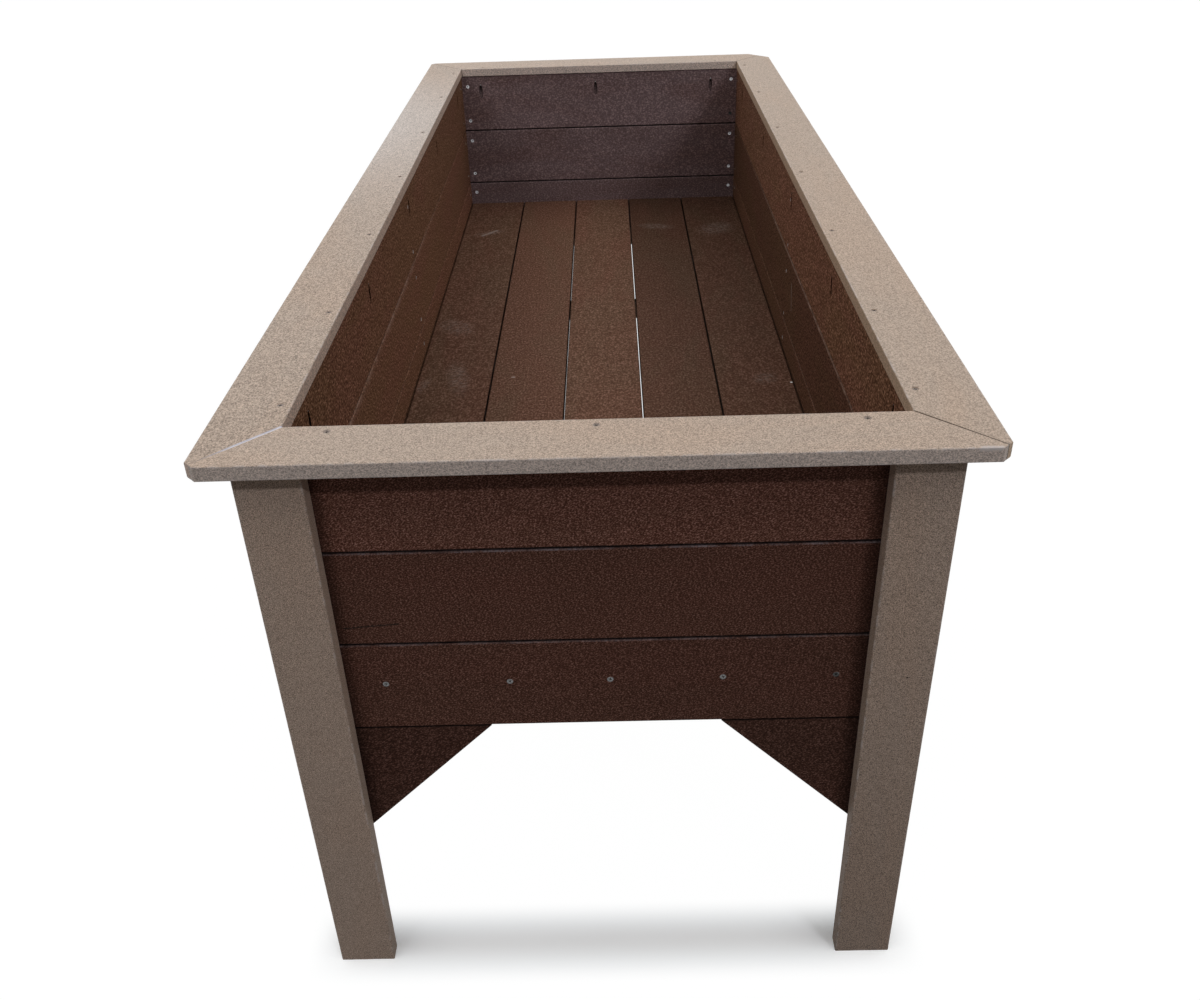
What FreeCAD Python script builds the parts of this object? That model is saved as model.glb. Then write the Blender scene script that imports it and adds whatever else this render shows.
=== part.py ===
import FreeCAD, Part
import math
import os

# Raised garden bed of recycled plastic boards. Millimetres, +Z up, origin on the ground under the middle.
# The near end faces -Y. Sides are numbered by quarter turns: front, right, back, left.

V = FreeCAD.Vector
UP = V(0, 0, 1)
ALONG_X = V(1, 0, 0)
ALONG_Y = V(0, 1, 0)

# Wall and floor planks
PLANK_WIDTH = 139.7
PLANK_THICKNESS = 25.4
PLANK_GAP = 1.0
PLANK_EASE = 3.0
WALL_ROWS = ("top", "middle", "bottom")
INNER_LENGTH = 1981.2
FLOOR_PLANKS = 5
FLOOR_PLANK_WIDTH = 143.0
FLOOR_GAP = 2.2
FLOOR_SIDE_GAP = 0.85
FLOOR_RISE = 57.0

# Cross joists under the floor
JOIST_THICKNESS = 25.4
JOIST_DEPTH = 38.1
JOIST_EASE = 2.0
JOIST_MIDDLE_SPACING = 618.0
JOIST_END_INSET = 178.6

# Legs and gussets
WALL_BOTTOM = 448.9
LEG_WIDTH = 80.0
LEG_THICKNESS = 25.4
LEG_EASE = 2.0
GUSSET_SIDE = 236.0

# Rim boards, clipped at the outer corners, with mitres that have opened at their inner ends
RIM_WIDTH = 88.9
RIM_THICKNESS = 19.0
RIM_EASE = 1.5
RIM_LIP = 2.0
RIM_CLIP = 12.0
RIM_FAR_CLIP = 50.0
MITRE_GAP = 0.4
MITRE_OPENING_LEFT = 3.2
MITRE_OPENING_RIGHT = 2.2

# Countersunk screws
SCREW_HEAD_RADIUS = 4.2
SCREW_HEAD_DEPTH = 3.2
SCREW_HEAD_EDGE = 0.5
SCREW_SHANK_RADIUS = 2.1
SCREW_TIP = 6.0
SCREW_SINK = 0.6
RECESS_SPAN = 5.0
RECESS_WIDTH = 1.2
RECESS_DEPTH = 1.8
SCREW_TWIST = 37.0
HOLE_CLEARANCE = 0.1
WALL_SCREW_COVER = 7.0
RIM_SCREW_BITE = 31.0
FLOOR_SCREW_BITE = 38.6

# Pan head screws in slanted pocket holes
PAN_HEAD_RADIUS = 4.2
PAN_HEAD_DEPTH = 2.6
POCKET_CLEARANCE = 0.55
POCKET_ANGLE = 15.0
POCKET_WEB = 22.0
POCKET_SETBACK = 10.6
POCKET_SCREW_COVER = 5.5

# Screw places
PLANK_SCREW_INSET = 25.85
MIDDLE_SCREW_SHIFT = -12.0
MIDDLE_DROP_RIGHT = 14.0
MIDDLE_DROP_LEFT = 7.0
RIM_SCREW_INSET = 57.0
RIM_BAYS_END = 2
RIM_BAYS_SIDE = 6
RIM_SHIFT_LEFT = 10.0
RIM_SHIFT_RIGHT = -35.0
POCKETS_END = 3
POCKETS_SIDE = 5
POCKET_INSET_END = 59.0
POCKET_INSET_SIDE = 120.0
POCKET_SHIFT_END = -10.0
POCKET_SHIFT_RIGHT = -24.0
FLOOR_SCREW_SHIFT = 7.0
FLOOR_SCREW_LIFT = 5.0
FLOOR_STRAY_PLANK = 2
FLOOR_STRAY_SHIFT = 15.5
JOIST_SCREW_INSET = 10.0
GUSSET_SCREW_TOP = 45.0
GUSSET_SCREW_TIP = 69.0

# Places worked out from the sizes above
FLOOR_PITCH = FLOOR_PLANK_WIDTH + FLOOR_GAP
INNER_WIDTH = FLOOR_PLANKS * FLOOR_PITCH - FLOOR_GAP + 2 * FLOOR_SIDE_GAP
INNER_X = INNER_WIDTH / 2
INNER_Y = INNER_LENGTH / 2
WALL_X = INNER_X + PLANK_THICKNESS
WALL_Y = INNER_Y + PLANK_THICKNESS
LEG_X = WALL_X + LEG_THICKNESS
LEG_Y = WALL_Y + LEG_THICKNESS
RIM_X = INNER_X - RIM_LIP + RIM_WIDTH
RIM_Y = INNER_Y - RIM_LIP + RIM_WIDTH
ROW_PITCH = PLANK_WIDTH + PLANK_GAP
LEG_HEIGHT = WALL_BOTTOM + len(WALL_ROWS) * ROW_PITCH - PLANK_GAP
RIM_TOP = LEG_HEIGHT + RIM_THICKNESS
FLOOR_BOTTOM = WALL_BOTTOM + FLOOR_RISE
FLOOR_TOP = FLOOR_BOTTOM + PLANK_THICKNESS
JOIST_BOTTOM = FLOOR_BOTTOM - JOIST_DEPTH
JOIST_NEAR = JOIST_MIDDLE_SPACING / 2
JOIST_FAR = INNER_Y - JOIST_END_INSET
JOIST_PLACES = (-JOIST_FAR, -JOIST_NEAR, JOIST_NEAR, JOIST_FAR)
POCKET_RADIUS = PAN_HEAD_RADIUS + POCKET_CLEARANCE
POCKET_SLANT = math.radians(POCKET_ANGLE)
WALL_SCREW_LENGTH = PLANK_THICKNESS + LEG_THICKNESS - WALL_SCREW_COVER
RIM_SCREW_LENGTH = RIM_THICKNESS + RIM_SCREW_BITE
FLOOR_SCREW_LENGTH = PLANK_THICKNESS + FLOOR_SCREW_BITE
POCKET_SCREW_LENGTH = POCKET_WEB + (RIM_THICKNESS - POCKET_SCREW_COVER) / math.cos(POCKET_SLANT)

# The same sizes by side, in the order front, right, back, left
SIDES = ("front", "right", "back", "left")
ENDS = (0, 2)
LONG_SIDES = (1, 3)
INNER_FACES = (INNER_Y, INNER_X, INNER_Y, INNER_X)
INNER_HALVES = (INNER_X, INNER_Y, INNER_X, INNER_Y)
PLANK_HALVES = (WALL_X, INNER_Y, WALL_X, INNER_Y)
RIM_EDGES = (RIM_Y, RIM_X, RIM_Y, RIM_X)
RIM_HALVES = (RIM_X, RIM_Y, RIM_X, RIM_Y)
LEG_INNER_EDGES = (LEG_X - LEG_WIDTH, WALL_Y - LEG_WIDTH, LEG_X - LEG_WIDTH, WALL_Y - LEG_WIDTH)
# Screws set off from even spacing, along +X on the ends and +Y on the long sides
SHIFT_SIGNS = (1, 1, -1, -1)
RIM_SHIFTS = (0, RIM_SHIFT_RIGHT, 0, RIM_SHIFT_LEFT)
POCKET_SHIFTS = (POCKET_SHIFT_END, POCKET_SHIFT_RIGHT, POCKET_SHIFT_END, 0)
MIDDLE_DROPS = (0, MIDDLE_DROP_RIGHT, 0, MIDDLE_DROP_LEFT)
# Corner n is where rim board n starts: front left, front right, back right, back left
CORNER_CLIPS = (RIM_CLIP, RIM_CLIP, RIM_FAR_CLIP, RIM_CLIP)
CORNER_OPENINGS = (MITRE_OPENING_LEFT, MITRE_OPENING_RIGHT, MITRE_GAP, MITRE_GAP)


def turned(shape, quarter):
    """A copy of a shape made for the front side, turned to another side."""
    copy = shape.copy()
    copy.rotate(V(0, 0, 0), UP, 90 * quarter)
    return copy


def eased(solid, grain, radius):
    """Rounds the straight edges that run along the grain."""
    edges = [edge for edge in solid.Edges if abs(edge.tangentAt(edge.FirstParameter).dot(grain)) > 0.999]
    return solid.makeFillet(radius, edges)


def board(corner, other, grain, radius):
    """A board between two opposite corners, with its long edges eased."""
    low = V(*[min(pair) for pair in zip(corner, other)])
    size = V(*[abs(b - a) for a, b in zip(corner, other)])
    return eased(Part.makeBox(size.x, size.y, size.z, low), grain, radius)


def prism(points, direction):
    """A flat polygon pushed along a direction."""
    return Part.Face(Part.makePolygon(points + points[:1])).extrude(direction)


def lathe(outline):
    """A round solid from (radius, depth) points, driven down from the origin."""
    points = [V(radius, 0, -depth) for radius, depth in outline]
    face = Part.Face(Part.makePolygon(points + points[:1]))
    return face.revolve(V(0, 0, 0), UP, 360)


def spread(half, count):
    """Places spaced evenly from -half to half."""
    return [-half + 2 * half * number / (count - 1) for number in range(count)]


def wall_plank(side, row):
    """One plank of a wall. End planks cover the ends of the side planks."""
    top = LEG_HEIGHT - row * ROW_PITCH
    half = PLANK_HALVES[side]
    face = -INNER_FACES[side]
    plank = board((-half, face, top), (half, face - PLANK_THICKNESS, top - PLANK_WIDTH), ALONG_X, PLANK_EASE)
    return turned(plank, side)


def rim_board(side):
    """One mitred rim board, from its outer edge to its inner edge."""
    half = RIM_HALVES[side]
    outer = -RIM_EDGES[side]
    inner = outer + RIM_WIDTH
    closed = MITRE_GAP / math.sqrt(2)
    ends = []
    for corner in (side, (side + 1) % len(SIDES)):
        clip = CORNER_CLIPS[corner]
        opened = CORNER_OPENINGS[corner] / math.sqrt(2)
        ends.append([(half - clip, outer), (half - clip / 2 - closed, outer + clip / 2),
                     (half - RIM_WIDTH - opened, inner)])
    start = [V(-x, y, LEG_HEIGHT) for x, y in ends[0]]
    finish = [V(x, y, LEG_HEIGHT) for x, y in ends[1]]
    blank = prism(start[::-1] + finish, UP * RIM_THICKNESS)
    return turned(eased(blank, ALONG_X, RIM_EASE), side)


def floor_plank(number):
    """One floor plank, running from end wall to end wall."""
    left = -INNER_X + FLOOR_SIDE_GAP + number * FLOOR_PITCH
    right = left + FLOOR_PLANK_WIDTH
    return board((left, -INNER_Y, FLOOR_BOTTOM), (right, INNER_Y, FLOOR_TOP), ALONG_Y, PLANK_EASE)


def joist(place):
    """One cross joist under the floor, between the long walls."""
    low = (-INNER_X, place - JOIST_THICKNESS / 2, JOIST_BOTTOM)
    high = (INNER_X, place + JOIST_THICKNESS / 2, FLOOR_BOTTOM)
    return board(low, high, ALONG_X, JOIST_EASE)


def end_leg(x_sign, y_sign):
    """The leg board on an end wall, which covers the edge of the board beside it."""
    outer = (x_sign * LEG_X, y_sign * LEG_Y, LEG_HEIGHT)
    return board((x_sign * (LEG_X - LEG_WIDTH), y_sign * WALL_Y, 0), outer, UP, LEG_EASE)


def side_leg(x_sign, start, finish):
    """A leg board on a long wall, between two places along it."""
    return board((x_sign * WALL_X, start, 0), (x_sign * LEG_X, finish, LEG_HEIGHT), UP, LEG_EASE)


def gusset(x_sign, y_sign):
    """The triangle under an end wall, which runs on behind the leg board."""
    points = [V(x_sign * WALL_X, y_sign * INNER_Y, WALL_BOTTOM),
              V(x_sign * (WALL_X - GUSSET_SIDE), y_sign * INNER_Y, WALL_BOTTOM),
              V(x_sign * WALL_X, y_sign * INNER_Y, WALL_BOTTOM - GUSSET_SIDE)]
    return prism(points, ALONG_Y * (y_sign * PLANK_THICKNESS))


def with_recess(body, head_top):
    """Cuts the cross recess into a screw head whose top is at this height."""
    corner = V(-RECESS_SPAN / 2, -RECESS_WIDTH / 2, head_top - RECESS_DEPTH)
    slot = Part.makeBox(RECESS_SPAN, RECESS_WIDTH, RECESS_DEPTH, corner)
    return body.cut([slot, turned(slot, 1)])


def countersunk_screw(length):
    """A countersunk screw, its head at the origin, pointing down."""
    body = lathe([(0, 0), (SCREW_HEAD_RADIUS, 0), (SCREW_HEAD_RADIUS, SCREW_HEAD_EDGE),
                  (SCREW_SHANK_RADIUS, SCREW_HEAD_DEPTH), (SCREW_SHANK_RADIUS, length - SCREW_TIP),
                  (0, length)])
    return with_recess(body, 0)


def countersunk_hole(length):
    """The countersink and pilot hole that such a screw sits in."""
    head = SCREW_HEAD_RADIUS + HOLE_CLEARANCE
    shank = SCREW_SHANK_RADIUS + HOLE_CLEARANCE
    return lathe([(0, -SCREW_SINK), (head, -SCREW_SINK), (head, SCREW_HEAD_EDGE + HOLE_CLEARANCE),
                  (shank, SCREW_HEAD_DEPTH + HOLE_CLEARANCE), (shank, length - SCREW_TIP),
                  (0, length + HOLE_CLEARANCE)])


def pocket_screw():
    """A pan head screw, the underside of its head at the origin, pointing down."""
    body = lathe([(0, -PAN_HEAD_DEPTH), (PAN_HEAD_RADIUS, -PAN_HEAD_DEPTH), (PAN_HEAD_RADIUS, 0),
                  (SCREW_SHANK_RADIUS, 0), (SCREW_SHANK_RADIUS, POCKET_SCREW_LENGTH - SCREW_TIP),
                  (0, POCKET_SCREW_LENGTH)])
    return with_recess(body, PAN_HEAD_DEPTH)


def pocket_hole():
    """The slanted pocket, its flat bottom, and the pilot hole beyond."""
    shank = SCREW_SHANK_RADIUS + HOLE_CLEARANCE
    reach = PLANK_THICKNESS / math.sin(POCKET_SLANT)
    return lathe([(0, -reach), (POCKET_RADIUS, -reach), (POCKET_RADIUS, HOLE_CLEARANCE),
                  (shank, HOLE_CLEARANCE), (shank, POCKET_SCREW_LENGTH - SCREW_TIP),
                  (0, POCKET_SCREW_LENGTH + HOLE_CLEARANCE)])


def placed(template, point, direction, twist):
    """A copy of a screw or hole, turned about itself, then aimed and moved to its place."""
    aim = FreeCAD.Rotation(-UP, direction).multiply(FreeCAD.Rotation(UP, twist))
    copy = template.copy()
    copy.Placement = FreeCAD.Placement(point, aim)
    return copy


def driven(screw, hole, spots):
    """Every screw of a group, and the holes for them. A spot is (side, point, direction)."""
    screws = []
    holes = []
    for number, (side, point, direction) in enumerate(spots):
        twist = number * SCREW_TWIST
        screws.append(turned(placed(screw, point, direction, twist), side))
        holes.append(turned(placed(hole, point, direction, twist), side))
    return screws, holes


def wall_spots(sides):
    """Screws from inside through the wall planks into the leg boards, two in each plank."""
    levels = []
    for row in range(len(WALL_ROWS)):
        top = LEG_HEIGHT - row * ROW_PITCH
        levels += [top - PLANK_SCREW_INSET, top - PLANK_WIDTH + PLANK_SCREW_INSET]
    spots = []
    for side in sides:
        corner = (LEG_INNER_EDGES[side] + INNER_HALVES[side]) / 2
        places = [(-corner, 0), (corner, 0)]
        if side in LONG_SIDES:
            places.append((SHIFT_SIGNS[side] * MIDDLE_SCREW_SHIFT, MIDDLE_DROPS[side]))
        spots += [(side, V(place, -INNER_FACES[side] - SCREW_SINK, level - drop), -ALONG_Y)
                  for place, drop in places for level in levels]
    return spots


def rim_spots():
    """Screws down through the rim into the top edges of the walls, the end ones drawn in from the corners."""
    spots = []
    for side in range(len(SIDES)):
        bays = RIM_BAYS_SIDE if side in LONG_SIDES else RIM_BAYS_END
        shift = SHIFT_SIGNS[side] * RIM_SHIFTS[side]
        end = INNER_HALVES[side] - RIM_SCREW_INSET
        between = spread(INNER_HALVES[side], bays + 1)[1:-1]
        places = [-end] + [place + shift for place in between] + [end]
        centre = -INNER_FACES[side] - PLANK_THICKNESS / 2
        spots += [(side, V(place, centre, RIM_TOP - SCREW_SINK), -UP) for place in places]
    return spots


def pocket_spots():
    """Screws up through pocket holes in the top planks into the rim, shifted to miss the rim screws."""
    direction = V(0, -math.sin(POCKET_SLANT), math.cos(POCKET_SLANT))
    spots = []
    for side in range(len(SIDES)):
        if side in LONG_SIDES:
            places = spread(INNER_HALVES[side] - POCKET_INSET_SIDE, POCKETS_SIDE)
        else:
            places = spread(INNER_HALVES[side] - POCKET_INSET_END, POCKETS_END)
        for place in places:
            along = place + SHIFT_SIGNS[side] * POCKET_SHIFTS[side]
            mouth = V(along, -INNER_FACES[side] - POCKET_SETBACK, LEG_HEIGHT)
            spots.append((side, mouth - direction * POCKET_WEB, direction))
    return spots


def floor_spots():
    """Screws through the end walls into the ends of the floor planks, one of them driven off its mark."""
    middles = spread(FLOOR_PITCH * (FLOOR_PLANKS - 1) / 2, FLOOR_PLANKS)
    places = [middle + FLOOR_SCREW_SHIFT for middle in middles]
    places[FLOOR_STRAY_PLANK - 1] += FLOOR_STRAY_SHIFT
    level = FLOOR_BOTTOM + PLANK_THICKNESS / 2 + FLOOR_SCREW_LIFT
    return [(side, V(place, -WALL_Y + SCREW_SINK, level), ALONG_Y) for side in ENDS for place in places]


def joist_spots():
    """Screws through the long walls into the ends of the joists."""
    levels = (FLOOR_BOTTOM - JOIST_SCREW_INSET, JOIST_BOTTOM + JOIST_SCREW_INSET)
    return [(side, V(place, -WALL_X + SCREW_SINK, level), ALONG_Y)
            for side in LONG_SIDES for place in JOIST_PLACES for level in levels]


def gusset_spots():
    """Screws from inside through the gussets into the leg boards."""
    middle = (WALL_X + LEG_X - LEG_WIDTH) / 2
    depth = GUSSET_SIDE - (WALL_X - middle)
    levels = (WALL_BOTTOM - GUSSET_SCREW_TOP, WALL_BOTTOM - depth + GUSSET_SCREW_TIP)
    return [(side, V(x_sign * middle, -INNER_Y - SCREW_SINK, level), -ALONG_Y)
            for side in ENDS for x_sign in (-1, 1) for level in levels]


# The boards
boards = {}
for side, name in enumerate(SIDES):
    boards["rim_" + name] = rim_board(side)
    for row, row_name in enumerate(WALL_ROWS):
        boards[name + "_plank_" + row_name] = wall_plank(side, row)
for number in range(FLOOR_PLANKS):
    boards["floor_plank_%d" % (number + 1)] = floor_plank(number)
for number, place in enumerate(JOIST_PLACES):
    boards["floor_joist_%d" % (number + 1)] = joist(place)
for x_name, x_sign in (("left", -1), ("right", 1)):
    boards["leg_middle_" + x_name] = side_leg(x_sign, -LEG_WIDTH / 2, LEG_WIDTH / 2)
    for y_name, y_sign in (("front", -1), ("back", 1)):
        corner_name = y_name + "_" + x_name
        boards["leg_" + corner_name + "_end"] = end_leg(x_sign, y_sign)
        outer = y_sign * WALL_Y
        boards["leg_" + corner_name + "_side"] = side_leg(x_sign, outer, outer - y_sign * LEG_WIDTH)
        boards["gusset_" + corner_name] = gusset(x_sign, y_sign)

# The screws, and the holes drilled for them through every board they pass
wall_screw = countersunk_screw(WALL_SCREW_LENGTH)
wall_hole = countersunk_hole(WALL_SCREW_LENGTH)
rim_screw = countersunk_screw(RIM_SCREW_LENGTH)
rim_hole = countersunk_hole(RIM_SCREW_LENGTH)
floor_screw = countersunk_screw(FLOOR_SCREW_LENGTH)
floor_hole = countersunk_hole(FLOOR_SCREW_LENGTH)
groups = {
    "rim_screws": driven(rim_screw, rim_hole, rim_spots()),
    "pocket_screws": driven(pocket_screw(), pocket_hole(), pocket_spots()),
    "end_wall_screws": driven(wall_screw, wall_hole, wall_spots(ENDS)),
    "side_wall_screws": driven(wall_screw, wall_hole, wall_spots(LONG_SIDES)),
    "floor_end_screws": driven(floor_screw, floor_hole, floor_spots()),
    "joist_screws": driven(floor_screw, floor_hole, joist_spots()),
    "gusset_screws": driven(wall_screw, wall_hole, gusset_spots()),
}
all_holes = [hole for screws, holes in groups.values() for hole in holes]

os.makedirs("parts", exist_ok=True)
for name, solid in boards.items():
    crossing = [hole for hole in all_holes if hole.BoundBox.intersect(solid.BoundBox)]
    drilled = solid.cut(crossing) if crossing else solid
    drilled.exportStep("parts/" + name + ".step")
for name, (screws, holes) in groups.items():
    Part.makeCompound(screws).exportStep("parts/" + name + ".step")
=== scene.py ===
import bpy
import math
from mathutils import Matrix, Vector


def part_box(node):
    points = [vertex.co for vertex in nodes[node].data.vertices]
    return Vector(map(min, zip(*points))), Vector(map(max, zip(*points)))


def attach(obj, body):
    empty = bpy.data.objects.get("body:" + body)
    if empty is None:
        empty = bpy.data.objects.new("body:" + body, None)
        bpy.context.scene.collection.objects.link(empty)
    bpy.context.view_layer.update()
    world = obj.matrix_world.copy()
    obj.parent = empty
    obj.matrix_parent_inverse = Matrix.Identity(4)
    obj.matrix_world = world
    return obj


# Raised garden bed of recycled plastic boards. Metres, +Z up, the near end faces -Y.
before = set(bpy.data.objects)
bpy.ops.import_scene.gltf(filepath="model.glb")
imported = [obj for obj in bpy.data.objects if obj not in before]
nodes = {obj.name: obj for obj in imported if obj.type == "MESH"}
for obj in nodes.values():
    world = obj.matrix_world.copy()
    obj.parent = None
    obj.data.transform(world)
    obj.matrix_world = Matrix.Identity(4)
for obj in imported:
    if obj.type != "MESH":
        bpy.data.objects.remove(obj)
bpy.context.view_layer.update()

# Colours, in linear light
TAN = (0.450, 0.358, 0.290)
TAN_WARM = (0.465, 0.358, 0.282)
TAN_EDGE = (0.515, 0.428, 0.376)
LEG_TAN = (0.430, 0.326, 0.259)
LEG_WARM = (0.444, 0.326, 0.252)
BROWN = (0.108, 0.045, 0.029)
BROWN_RED = (0.116, 0.046, 0.030)
BROWN_OLIVE = (0.106, 0.051, 0.027)
FLOOR_OLIVE = (0.104, 0.055, 0.034)
# The back wall's inside browns: their grey is a painted sheen of the light from the near end
BROWN_GREY_SHEEN = (0.172, 0.120, 0.120)
BROWN_DUSK_SHEEN = (0.145, 0.094, 0.090)
# A painted sheen on the left rim board
PAINTED_SHEEN = (0.62, 0.555, 0.515)
SCUFF = (0.34, 0.28, 0.25)
PIT = (0.020, 0.014, 0.011)
WORN_TAN = (0.62, 0.56, 0.54)
# Painted highlights where the top edges of planks catch the light in the seams
SEAM_HIGHLIGHT = (0.30, 0.245, 0.255)
SEAM_WARM_HIGHLIGHT = (0.32, 0.205, 0.155)
SPECK = (0.85, 0.83, 0.80)
ZINC = (0.95, 0.95, 0.96)
WALL_ZINC = (0.56, 0.56, 0.58)
DULL_ZINC = (0.265, 0.262, 0.258)
# Dark steel of the dark screws, also the painted shade down in screw recesses
DARK_STEEL_AND_SHADE = (0.018, 0.016, 0.015)
COATED = (0.250, 0.195, 0.160)
# Painted highlight in the front left mitre, where the cut face catches the light
MITRE_HIGHLIGHT = (0.66, 0.64, 0.70)
FLOOR_WHITE = (1.0, 1.0, 1.0)
FLOOR_GREY = (0.18, 0.18, 0.183)
FLOOR_SHADE = (0.915, 0.950, 0.968)

# Rays that look for what lies near a point
OCCLUSION_SAMPLES = 8
# The part of a noise pattern's range that holds nearly all of it
NOISE_RANGE = (0.3, 0.7)


class Graph:
    """A node tree with short ways to add nodes and join them."""

    def __init__(self, tree):
        self.tree = tree
        tree.nodes.clear()

    def add(self, kind, sockets=None, **settings):
        """Adds a node. A socket's value is another node's output, which is joined, or a plain value."""
        made = self.tree.nodes.new(kind)
        for name, value in settings.items():
            setattr(made, name, value)
        for key, value in (sockets or {}).items():
            if isinstance(value, bpy.types.NodeSocket):
                self.tree.links.new(value, made.inputs[key])
            elif hasattr(value, "__len__") and len(value) == 3 and made.inputs[key].type == "RGBA":
                made.inputs[key].default_value = (*value, 1.0)
            else:
                made.inputs[key].default_value = value
        return made

    def place(self):
        """The shaded point, in metres in the shared frame."""
        return self.add("ShaderNodeTexCoord").outputs["Object"]

    def facing(self, kind="Normal"):
        """The direction that the surface faces."""
        return self.add("ShaderNodeNewGeometry").outputs[kind]

    def axis(self, vector, name):
        """One part of a vector."""
        return self.add("ShaderNodeSeparateXYZ", {0: vector}).outputs[name]

    def math(self, operation, first, second=0.0):
        return self.add("ShaderNodeMath", {0: first, 1: second}, operation=operation).outputs[0]

    def times(self, first, second):
        return self.math("MULTIPLY", first, second)

    def vector(self, operation, first, second=(0.0, 0.0, 0.0)):
        return self.add("ShaderNodeVectorMath", {0: first, 1: second}, operation=operation).outputs[0]

    def measure(self, operation, first, second=(0.0, 0.0, 0.0)):
        """A number from vectors, such as a length or a distance."""
        made = self.add("ShaderNodeVectorMath", {0: first, 1: second}, operation=operation)
        return made.outputs["Value"]

    def spread(self, value, low, high, to_low=0.0, to_high=1.0, smooth=False):
        """Takes the range low to high onto another range, and holds its ends."""
        kind = "SMOOTHSTEP" if smooth else "LINEAR"
        made = self.add("ShaderNodeMapRange", {0: value, 1: low, 2: high, 3: to_low, 4: to_high},
                        interpolation_type=kind)
        return made.outputs[0]

    def noise(self, place, scale, detail=2.0, roughness=0.5, distortion=0.0):
        sockets = {"Vector": place, "Scale": scale, "Detail": detail, "Roughness": roughness,
                   "Distortion": distortion}
        return self.add("ShaderNodeTexNoise", sockets).outputs[0]

    def mapped(self, place, turn=(0.0, 0.0, 0.0), scale=(1.0, 1.0, 1.0)):
        return self.add("ShaderNodeMapping", {"Vector": place, "Rotation": turn, "Scale": scale}).outputs[0]

    def open_sky(self, reach):
        """How open a point is within a reach: 1 in the open, and 0 deep in a hole."""
        made = self.add("ShaderNodeAmbientOcclusion", {"Distance": reach}, samples=OCCLUSION_SAMPLES)
        return made.outputs["AO"]

    def mix(self, share, first, second, kind="MIX"):
        """Mixes two colours."""
        made = self.add("ShaderNodeMix", {0: share, 6: first, 7: second}, data_type="RGBA", blend_type=kind)
        return made.outputs[2]

    def blend(self, share, first, second):
        """Mixes two numbers."""
        return self.add("ShaderNodeMix", {0: share, 2: first, 3: second}).outputs[0]

    def grey(self, value):
        """A number as a colour."""
        return self.add("ShaderNodeCombineColor", {0: value, 1: value, 2: value}).outputs[0]

    def shade(self, colour, value):
        """A colour times a number."""
        return self.mix(1.0, colour, self.grey(value), "MULTIPLY")

    def surface(self, sockets):
        """Ends the tree with a plain surface."""
        shader = self.add("ShaderNodeBsdfPrincipled", sockets)
        self.add("ShaderNodeOutputMaterial", {0: shader.outputs[0]})


def new_graph(name):
    material = bpy.data.materials.new(name)
    material.use_nodes = True
    return material, Graph(material.node_tree)


# What each kind of board looks like. Flecks have a width in metres, a stretch, a turn in degrees, and
# how much darker, lighter and less coloured than the board they are
LOOKS = {
    "rim": dict(main=TAN, other=TAN_WARM, mottle=1.0, width=0.0013, stretch=1.2, turn=0.0,
                dark=0.52, light=0.52, fade=1.0, pits=0.25, shine=0.20, rough=0.52, relief=0.35),
    "side_rim": dict(main=TAN, other=TAN_WARM, mottle=1.0, width=0.0017, stretch=1.4, turn=0.0,
                     dark=0.54, light=0.54, fade=1.0, pits=0.25, shine=0.15, rough=0.52, relief=0.35),
    "leg": dict(main=LEG_TAN, other=LEG_WARM, mottle=1.0, width=0.0011, stretch=1.2, turn=0.0,
                dark=0.72, light=0.72, fade=1.0, pits=0.40, shine=0.10, rough=0.60, relief=0.35),
    "wall": dict(main=BROWN, other=BROWN_RED, mottle=1.0, width=0.0014, stretch=1.8, turn=24.0,
                 dark=0.58, light=3.2, fade=0.80, pits=0.0, shine=0.04, rough=0.62, relief=0.45),
    "inner": dict(main=BROWN_OLIVE, other=BROWN_RED, mottle=0.5, width=0.0028, stretch=1.7, turn=0.0,
                  dark=0.58, light=2.9, fade=0.90, pits=0.0, shine=0.04, rough=0.60, relief=0.40),
    "back": dict(main=BROWN_GREY_SHEEN, other=BROWN_DUSK_SHEEN, mottle=1.0, width=0.0032, stretch=1.3, turn=0.0,
                 dark=0.30, light=1.1, fade=1.0, pits=0.0, shine=0.08, rough=0.55, relief=0.40),
    "floor": dict(main=FLOOR_OLIVE, other=BROWN_RED, mottle=0.40, width=0.0034, stretch=1.6, turn=0.0,
                  dark=0.36, light=1.05, fade=0.88, pits=0.0, shine=0.03, rough=0.60, relief=0.25),
}
# Kinds of brown plank, those that the photograph shows from inside, and the tone of their outer faces
PLANK_LOOKS = ("wall", "inner", "back", "floor")
# Their inner faces carry painted light and shade in colour and tone; their outer faces the plain brown
SEEN_INSIDE = ("inner", "back")
OUTSIDE_TONE = 0.85
# How far the pattern moves from one board to the next
SEED_STEP = (0.37, 0.83, 0.59)


def look_of(node):
    """The kind of board that a node is, and the axis its grain runs along."""
    if node in ("rim_front", "rim_back"):
        return "rim", 0
    if node.startswith("rim_"):
        return "side_rim", 1
    if node.startswith("leg_"):
        return "leg", 2
    if node.startswith("floor_joist"):
        return "leg", 0
    if node.startswith("floor_plank"):
        return "floor", 1
    if node.startswith("back_"):
        return "back", 0
    if node.startswith(("left_", "right_")):
        return "inner", 1
    return "wall", 0


def along_grain(grain, along, across=1.0):
    """A scale that stretches a pattern along one axis."""
    return tuple(along if axis == grain else across for axis in range(3))


def outer_half(graph, place, node, look):
    """1 on the outer half of a wall plank and 0 on its inner half."""
    low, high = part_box(node)
    axis = 0 if look == "inner" else 1
    away = graph.math("ABSOLUTE", graph.axis(place, axis))
    return graph.math("GREATER_THAN", away, abs(low[axis] + high[axis]) / 2)


# Slow changes of tone along a board, and the part of their pattern that shows
MOTTLE_SCALE = 9.0
MOTTLE_STRETCH = 0.30
MOTTLE_RANGE = (0.36, 0.64)
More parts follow.
